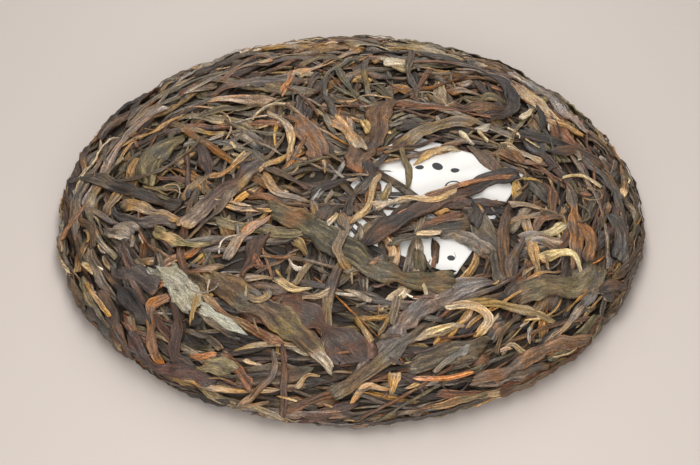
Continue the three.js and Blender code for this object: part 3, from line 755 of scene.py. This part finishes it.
def pick_colour(form, bearing, way):
    """A leaf's colour by its place: darker at the sides, partly as painted shade, and by the ticket; browner
    at the right front.
    """
    shares = np.array(SHARES[form])
    rim = float(smoothstep(50, 95, way))
    sideways = abs(math.cos(bearing)) ** 1.3 * rim
    front_left = max(0.0, math.cos(bearing - math.radians(232))) ** 2 * rim
    front_right = max(0.0, math.cos(bearing - math.radians(-45))) ** 3 * rim
    back = max(0.0, math.sin(bearing)) * rim
    x, y = way * math.cos(bearing), way * math.sin(bearing)
    by_ticket = float(smoothstep(42, 22, math.hypot(x - TICKET_CENTRE[0], y - TICKET_CENTRE[1])))
    # Darker at the sides and front left partly as painted shade, where the rim turns from the light
    darker = 3.0 * sideways + 2.8 * front_left + 1.5 * by_ticket
    shares = shares * (1 + darker * IN_DARK + 2.0 * front_right * IN_WARM + 0.8 * back * IN_PALE)
    return rng.choice(COLOURS, p=shares / shares.sum())


# The windows between the leaves through which the ticket shows: centre, half axes and turn
WINDOWS = (
    (32.5, 1.5, 14.5, 9.0, 22),
    (34.0, -39.0, 6.0, 5.5, 60),
    (50.0, -8.5, 3.0, 2.5, 0),
)
WINDOW_MARGIN = 1.5


def over_window(points):
    """Whether a leaf along these points would cover a window."""
    for cx, cy, a, b, turn in WINDOWS:
        c, s = math.cos(math.radians(turn)), math.sin(math.radians(turn))
        for x, y in points:
            dx, dy = x - cx, y - cy
            along = (dx * c + dy * s) / (a + WINDOW_MARGIN)
            across = (-dx * s + dy * c) / (b + WINDOW_MARGIN)
            if along**2 + across**2 < 1:
                return True
    return False


def fineness(form, width, hidden):
    """How many points a leaf has across its upper side, and the step along it."""
    if hidden:
        return 6, 3.2
    if form == "bit":
        return 5, 1.2
    if width < 2:
        return 7, 2.0
    return (9, 2.0) if width < 2.8 else (13, 2.0)


def scatter(heap, count, low, high, mix=MIX, windows=False):
    """Lays random leaves on a heap between two distances from its pole."""
    golden = math.pi * (3 - math.sqrt(5))
    start = rng.uniform(0, 6.3)
    for batch, k in enumerate(rng.permutation(count)):
        if batch % 12 == 0:
            heap.settle()
        way = math.sqrt(low**2 + (high**2 - low**2) * (k + 0.5) / count) + rng.normal(0, 2)
        bearing = k * golden + start + rng.normal(0, 0.05)
        form, _, lengths, widths, wander = mix[rng.choice(len(mix), p=[m[1] for m in mix])]
        colour = pick_colour(form, bearing, 60 if heap.under else way)
        x, y = way * math.cos(bearing), way * math.sin(bearing)
        length = rng.uniform(*lengths)
        width = widths[0] + (widths[1] - widths[0]) * rng.uniform() ** 1.5
        for _ in range(6):
            points = random_path(x, y, length, wander)
            reach = max(math.hypot(*p) for p in points)
            if reach < heap.reach - 4 and not (windows and over_window(points)):
                hidden = heap.under and (way < 74 or mix is BROAD)
                heap.lay(make_leaf(form, colour, width, points, *fineness(form, width, hidden)))
                break
            length = max(length * 0.75, lengths[0] * 0.6)


def lay_landmarks(heap):
    """Lays the leaves that show most, by their list."""
    for line in LEAVES.strip().splitlines():
        form, colour, width, *places = line.split()
        points = [surface.seen_at(*map(float, p.split(","))) for p in places]
        heap.settle()
        heap.lay(make_leaf(form, colour, float(width), points, 15, 1.4))


def ticket_plan(a, b):
    """Places on the ticket, from its middle, as places of the top chart."""
    c, s = math.cos(TICKET_TURN), math.sin(TICKET_TURN)
    return TICKET_CENTRE[0] + a * c - b * s, TICKET_CENTRE[1] + a * s + b * c


def lay_ticket(heap):
    """Lays the ticket as a sheet over its bed, a little crumpled."""
    bed = blur(spread(heap.height, 1.5), 2.4)
    a = np.linspace(-0.5, 0.5, TICKET_STEPS[0])[:, None] * TICKET_SIZE[0]
    b = np.linspace(-0.5, 0.5, TICKET_STEPS[1])[None, :] * TICKET_SIZE[1]
    a, b = np.broadcast_arrays(a, b)
    x, y = ticket_plan(a, b)
    crumple = 0.18 * np.sin(a / 3.1 + b / 7.0) * np.cos(b / 4.3 - a / 9.0)
    piece = dict(form="ticket", x=x, y=y, raw=heap.sample(bed, x, y) + 0.35 + crumple, a=a, b=b)
    fine_a = np.arange(-0.5, 0.5, 0.4 / TICKET_SIZE[0])[:, None] * TICKET_SIZE[0]
    fine_b = np.arange(-0.5, 0.5, 0.4 / TICKET_SIZE[1])[None, :] * TICKET_SIZE[1]
    x, y = ticket_plan(fine_a, fine_b)
    heap.raise_to(x, y, heap.sample(bed, x, y) + 0.45)
    heap.laid.append(piece)
    return piece


def build_top():
    """The dome and the rim: leaves, the ticket, more leaves and bits, and the leaves that show most."""
    heap = Heap(REACH_TOP, False)
    scatter(heap, 420, 0, 112)
    ticket = lay_ticket(heap)
    scatter(heap, 640, 0, 112, windows=True)
    scatter(heap, 330, 0, 110, mix=BITS, windows=True)
    lay_landmarks(heap)
    scatter(heap, 110, 0, 108, mix=BITS, windows=True)
    heap.press()
    return heap, ticket


def build_under():
    """The underside: broad leaves next to the core, and two layers over them."""
    heap = Heap(REACH_UNDER, True)
    scatter(heap, 150, 0, 106, mix=BROAD)
    scatter(heap, 240, 0, 106)
    scatter(heap, 240, 0, 106)
    heap.press()
    return heap


def grid_faces(rows, columns, closed, start):
    """Quads over a grid of points, and round it where it is closed."""
    i = np.arange(rows - 1)[:, None]
    j = np.arange(columns if closed else columns - 1)[None, :]
    k = (j + 1) % columns
    near, far = i * columns, (i + 1) * columns
    faces = np.stack([near + j, far + j, far + k, near + k], -1)
    return faces.reshape(-1, 4) + start


def tube_faces(rows, columns, start, turned=False):
    """The quads round a grid of points that is closed across, and a cap at each end."""
    quads = grid_faces(rows, columns, True, start)
    ring = np.arange(columns) + start
    caps = [ring, ring[::-1] + (rows - 1) * columns]
    if turned:
        quads, caps = quads[:, ::-1], [cap[::-1] for cap in caps]
    return quads, [cap.tolist() for cap in caps]


def new_object(name, verts, faces):
    """A mesh of points in metres and its faces as an object in the scene."""
    mesh = bpy.data.meshes.new(name)
    mesh.from_pydata(verts.tolist(), [], faces)
    made = bpy.data.objects.new(name, mesh)
    bpy.context.collection.objects.link(made)
    return made


def shade_smooth(mesh):
    mesh.polygons.foreach_set("use_smooth", np.ones(len(mesh.polygons), bool))


def set_grain(mesh, places):
    """Places along and across each leaf or sheet, which its material reads."""
    grain = mesh.attributes.new("leaf_grain", "FLOAT_VECTOR", "POINT")
    grain.data.foreach_set("vector", places.astype(np.float32).ravel())


def set_colour(mesh, colours):
    paint = mesh.color_attributes.new("leaf_colour", "FLOAT_COLOR", "POINT")
    rgba = np.ones((len(colours), 4), np.float32)
    rgba[:, :3] = colours
    paint.data.foreach_set("color", rgba.ravel())


def mesh_piece(name, leaves, material, under=False):
    """One object of many leaves, each a closed solid, with their colours, painted shade where they lie deep,
    and grain.
    """
    verts, faces, caps, colours, grain = [], [], [], [], []
    start = 0
    for p in leaves:
        rows, columns = p["x"].shape
        place = surface.place(p["x"], p["y"], p["lift"], under)
        verts.append(place.reshape(-1, 3))
        quads, ends = tube_faces(rows, columns, start, under)
        faces.append(quads)
        caps += ends
        # Painted shade: the deeper a leaf lies below its neighbours, the darker its colour
        shade = 1 - 0.65 * smoothstep(0.3, 3.0, p["depth"])
        colours.append((p["colour"] * shade[..., None]).reshape(-1, 3))
        seed = np.full(p["x"].shape, p["seed"])
        grain.append(np.stack([p["run"] + p["seed"], p["over"], seed], -1).reshape(-1, 3))
        start += rows * columns
    made = new_object(name, np.concatenate(verts) / 1000, np.concatenate(faces).tolist() + caps)
    set_colour(made.data, np.concatenate(colours))
    set_grain(made.data, np.concatenate(grain))
    shade_smooth(made.data)
    made.data.materials.append(material)
    return made


class Nodes:
    """A material's node tree, with short calls for its nodes and links."""

    def __init__(self, name):
        self.material = bpy.data.materials.new(name)
        self.material.use_nodes = True
        self.tree = self.material.node_tree
        self.shader = self.tree.nodes["Principled BSDF"]

    def add(self, kind, **settings):
        node = self.tree.nodes.new(kind)
        for key, value in settings.items():
            setattr(node, key, value)
        return node

    def link(self, source, target):
        self.tree.links.new(source, target)

    def math(self, operation, a, b=0.0):
        node = self.add("ShaderNodeMath", operation=operation)
        for socket, value in zip(node.inputs, (a, b)):
            if isinstance(value, (int, float)):
                socket.default_value = value
            else:
                self.link(value, socket)
        return node.outputs[0]

    def attribute(self, name, output):
        return self.add("ShaderNodeAttribute", attribute_name=name).outputs[output]

    def noise(self, place, scale, detail, roughness=0.5, wander=0.0):
        node = self.add("ShaderNodeTexNoise")
        settings = {"Scale": scale, "Detail": detail, "Roughness": roughness, "Distortion": wander}
        for socket, value in settings.items():
            node.inputs[socket].default_value = value
        self.link(place, node.inputs["Vector"])
        return node.outputs[0]

    def colour(self, source):
        self.link(source, self.shader.inputs["Base Color"])

    def bump(self, height, strength, distance):
        node = self.add("ShaderNodeBump")
        node.inputs["Strength"].default_value = strength
        node.inputs["Distance"].default_value = distance
        self.link(height, node.inputs["Height"])
        self.link(node.outputs[0], self.shader.inputs["Normal"])

    def roughness(self, value):
        self.shader.inputs["Roughness"].default_value = value


# A leaf's wrinkles, fibres and specks: how fine along, across and between leaves; detail, wander and share
LEAF_GRAIN = (
    ((0.3, 1.5, 1.0), 3.0, 0.9, 0.38),
    ((0.9, 4.2, 1.0), 2.0, 0.5, 0.34),
    ((1.9, 1.9, 1.0), 3.0, 0.0, 0.28),
)
# How strongly the grain darkens and lightens the colour; its bright end is partly painted highlight on the
# wrinkles
LEAF_CONTRAST = 3.3
# The grain's shades and the roughness that goes with them
LEAF_ROUGHNESS = {"From Min": 0.8, "From Max": 1.2, "To Min": 0.75, "To Max": 0.43}


def leaf_material():
    """Dry leaf: own streaks, fibres and specks that bump and roughen it and paint highlight and shade on its
    wrinkles.
    """
    n = Nodes("tea leaf")
    grain = n.attribute("leaf_grain", "Vector")
    layers = []
    for stretch, detail, wander, share in LEAF_GRAIN:
        squeeze = n.add("ShaderNodeMapping")
        squeeze.inputs["Scale"].default_value = stretch
        n.link(grain, squeeze.inputs["Vector"])
        layer = n.noise(squeeze.outputs[0], 1.0, detail, 0.62, wander)
        layers.append(n.math("MULTIPLY", layer, share * 2))
    shade = n.math("ADD", n.math("ADD", layers[0], layers[1]), layers[2])
    shaded = n.add("ShaderNodeVectorMath", operation="SCALE")
    n.link(n.attribute("leaf_colour", "Color"), shaded.inputs[0])
    n.link(n.math("POWER", shade, LEAF_CONTRAST), shaded.inputs["Scale"])
    n.colour(shaded.outputs[0])
    n.bump(shade, 0.8, 0.0004)
    sheen = n.add("ShaderNodeMapRange")
    for socket, value in LEAF_ROUGHNESS.items():
        sheen.inputs[socket].default_value = value
    n.link(shade, sheen.inputs["Value"])
    n.link(sheen.outputs[0], n.shader.inputs["Roughness"])
    return n.material


# The core's colours, very dark: painted shade for the gaps between the leaves
CORE_SHADE_COLOURS = ((20, 16, 13), (66, 54, 43))


def core_material():
    """Packed leaves painted very dark as the shade in the gaps between them; specked and matt."""
    n = Nodes("packed core")
    place = n.add("ShaderNodeTexCoord").outputs["Object"]
    specks = n.noise(place, 420.0, 5.0)
    ramp = n.add("ShaderNodeValToRGB")
    for stop, colour in zip(ramp.color_ramp.elements, CORE_SHADE_COLOURS):
        stop.color = (*linear(colour), 1)
    n.link(specks, ramp.inputs[0])
    n.colour(ramp.outputs[0])
    n.bump(specks, 1.0, 0.0008)
    n.roughness(0.85)
    return n.material


# The ticket's print, in millimetres from its middle: discs by place and radius, and a ring's place, radius
# and half line
DISCS = ((-7.5, 12.0, 1.5), (-2.5, 16.0, 1.9), (3.5, 17.5, 1.5), (20.5, -22.5, 1.3))
RING = (6.5, 9.5, 2.6, 0.3)
PAPER, PRINT = (230, 228, 225), (54, 54, 57)


def distance_from(n, place, x, y):
    node = n.add("ShaderNodeVectorMath", operation="DISTANCE")
    n.link(place, node.inputs[0])
    node.inputs[1].default_value = (x, y, 0)
    return node.outputs["Value"]


def ticket_material():
    """White tissue with a few plain charcoal discs and a ring."""
    n = Nodes("ticket paper")
    place = n.attribute("leaf_grain", "Vector")
    marks = [n.math("LESS_THAN", distance_from(n, place, x, y), size) for x, y, size in DISCS]
    x, y, size, line = RING
    from_ring = n.math("ABSOLUTE", n.math("SUBTRACT", distance_from(n, place, x, y), size))
    marked = n.math("LESS_THAN", from_ring, line)
    for mark in marks:
        marked = n.math("MAXIMUM", marked, mark)
    colour = n.add("ShaderNodeMix", data_type="RGBA")
    colour.inputs[6].default_value = (*linear(PAPER), 1)
    colour.inputs[7].default_value = (*linear(PRINT), 1)
    n.link(marked, colour.inputs[0])
    n.colour(colour.outputs[2])
    n.bump(n.noise(place, 0.35, 5.0), 0.25, 0.0003)
    n.roughness(0.8)
    return n.material


def make_core():
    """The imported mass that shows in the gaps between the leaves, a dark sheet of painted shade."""
    ways = np.linspace(0.6, surface.way[-1] - 0.6, CORE_STEPS[0])
    angles = np.linspace(0, 2 * math.pi, CORE_STEPS[1], endpoint=False)
    s, a = np.meshgrid(ways, angles, indexing="ij")
    lumps = 0.5 * np.sin(s / 2.3 + 3 * np.sin(7 * a)) * np.cos(31 * a + s / 5)
    lumps = lumps + 0.4 * np.sin(17 * a + s / 3.1)
    lift = -CORE_DEPTH + 0.5 * lumps
    r = np.interp(s, surface.way, surface.r) + lift * np.interp(s, surface.way, surface.normal_r)
    z = np.interp(s, surface.way, surface.z) + lift * np.interp(s, surface.way, surface.normal_z)
    r = np.maximum(r, 0.2)
    verts = np.stack([r * np.cos(a), r * np.sin(a), z], -1).reshape(-1, 3) / 1000
    quads, caps = tube_faces(*s.shape, 0)
    made = new_object("tea_core", verts, quads.tolist() + caps)
    made.data.materials.append(core_material())
    return made


def make_ticket(piece):
    """The ticket as a thin closed sheet with a plain generic print of its own."""
    rows, columns = piece["x"].shape
    count = rows * columns
    lifts = (piece["lift"], piece["lift"] - TICKET_THICKNESS)
    verts = [surface.place(piece["x"], piece["y"], lift, False).reshape(-1, 3) for lift in lifts]
    up = grid_faces(rows, columns, False, 0)
    down = grid_faces(rows, columns, False, count)[:, ::-1]
    edges = [
        np.arange(columns),
        np.arange(1, rows) * columns + columns - 1,
        (rows - 1) * columns + np.arange(columns - 2, -1, -1),
        np.arange(rows - 2, 0, -1) * columns,
    ]
    rim = np.concatenate(edges)
    after = np.roll(rim, -1)
    walls = np.stack([rim, after, after + count, rim + count], -1)
    faces = np.concatenate([up, down, walls]).tolist()
    made = new_object("ticket_sheet", np.concatenate(verts) / 1000, faces)
    own = np.stack([piece["a"], piece["b"], 0 * piece["a"]], -1).reshape(-1, 3)
    set_grain(made.data, np.concatenate([own, own]))
    shade_smooth(made.data)
    made.data.materials.append(ticket_material())
    return made


# The pieces of the top and the rim, by the colours of their leaves
GROUPS = {
    "dark_leaves": ("ink", "plum"),
    "slate_leaves": ("slate",),
    "grey_leaves": ("grey",),
    "green_leaves": ("moss",),
    "brown_leaves": ("umber", "rust", "bronze"),
    "pale_leaves": ("tan", "straw", "cream", "ash", "gold", "amber"),
}


def dress(piece):
    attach(piece, "root")
    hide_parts("tea_cake")


def dress_ticket(sheet):
    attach(sheet, "root")
    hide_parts("paper_ticket")


def make_cake():
    """The leaves by colour, the underside, the core between them, and the ticket."""
    heap, ticket = build_top()
    leaves = [p for p in heap.laid if p["form"] != "ticket"]
    skin = leaf_material()
    for name, kinds in GROUPS.items():
        dress(mesh_piece(name, [p for p in leaves if p["kind"] in kinds], skin))
    under = build_under()
    dress(mesh_piece("underside_leaves", under.laid, skin, under=True))
    dress(make_core())
    dress_ticket(make_ticket(ticket))


FLOOR_COLOUR = (200, 190, 183)


def make_floor():
    bpy.ops.mesh.primitive_plane_add(size=6.0)
    floor = bpy.context.object
    floor.name = "floor"
    n = Nodes("pale floor")
    n.shader.inputs["Base Color"].default_value = (*linear(FLOOR_COLOUR), 1)
    n.roughness(0.8)
    floor.data.materials.append(n.material)


# Lights that face the cake, in metres and watts: place, size and power
LIGHT_COLOUR = (1.0, 0.985, 0.965)
LIGHTS = {
    "window": ((0.0, -0.03, 0.36), (0.14, 0.9), 1.75),
    "room front": ((0.0, -1.1, 0.42), (1.4, 0.4), 10.8),
    "room back": ((0.0, 1.0, 0.6), (1.0, 0.4), 3.6),
}
ROOM_COLOUR, ROOM_STRENGTH = (1.0, 0.985, 0.97, 1), 0.19


def area_light(name, place, size, power):
    """A rectangular light that faces the cake."""
    data = bpy.data.lights.new(name, "AREA")
    data.shape = "RECTANGLE"
    data.size, data.size_y = size
    data.energy = power
    data.color = LIGHT_COLOUR
    lamp = bpy.data.objects.new(name, data)
    lamp.location = place
    lamp.rotation_euler = (-Vector(place)).to_track_quat("-Z", "Y").to_euler()
    bpy.context.collection.objects.link(lamp)


def make_lights():
    """A soft room round the cake, a window above it, and the room's light from the front and the back."""
    world = bpy.data.worlds.new("soft room")
    world.use_nodes = True
    sky = world.node_tree.nodes["Background"]
    sky.inputs[0].default_value = ROOM_COLOUR
    sky.inputs[1].default_value = ROOM_STRENGTH
    bpy.context.scene.world = world
    for name, (place, size, power) in LIGHTS.items():
        area_light(name, place, size, power)


def make_camera():
    data = bpy.data.cameras.new("camera")
    data.lens = CAMERA_LENS
    data.sensor_width = CAMERA_FILM
    camera = bpy.data.objects.new("camera", data)
    bpy.context.collection.objects.link(camera)
    back = Vector((0, -math.cos(CAMERA_ELEVATION), math.sin(CAMERA_ELEVATION))) * CAMERA_DISTANCE
    camera.location = (Vector(CAMERA_TARGET) + back) / 1000
    pitch = math.pi / 2 - CAMERA_ELEVATION - CAMERA_DROP
    camera.rotation_euler = (pitch, 0, 0)
    bpy.context.scene.camera = camera


make_cake()
make_floor()
make_lights()
make_camera()
bpy.context.scene.view_settings.view_transform = "Standard"
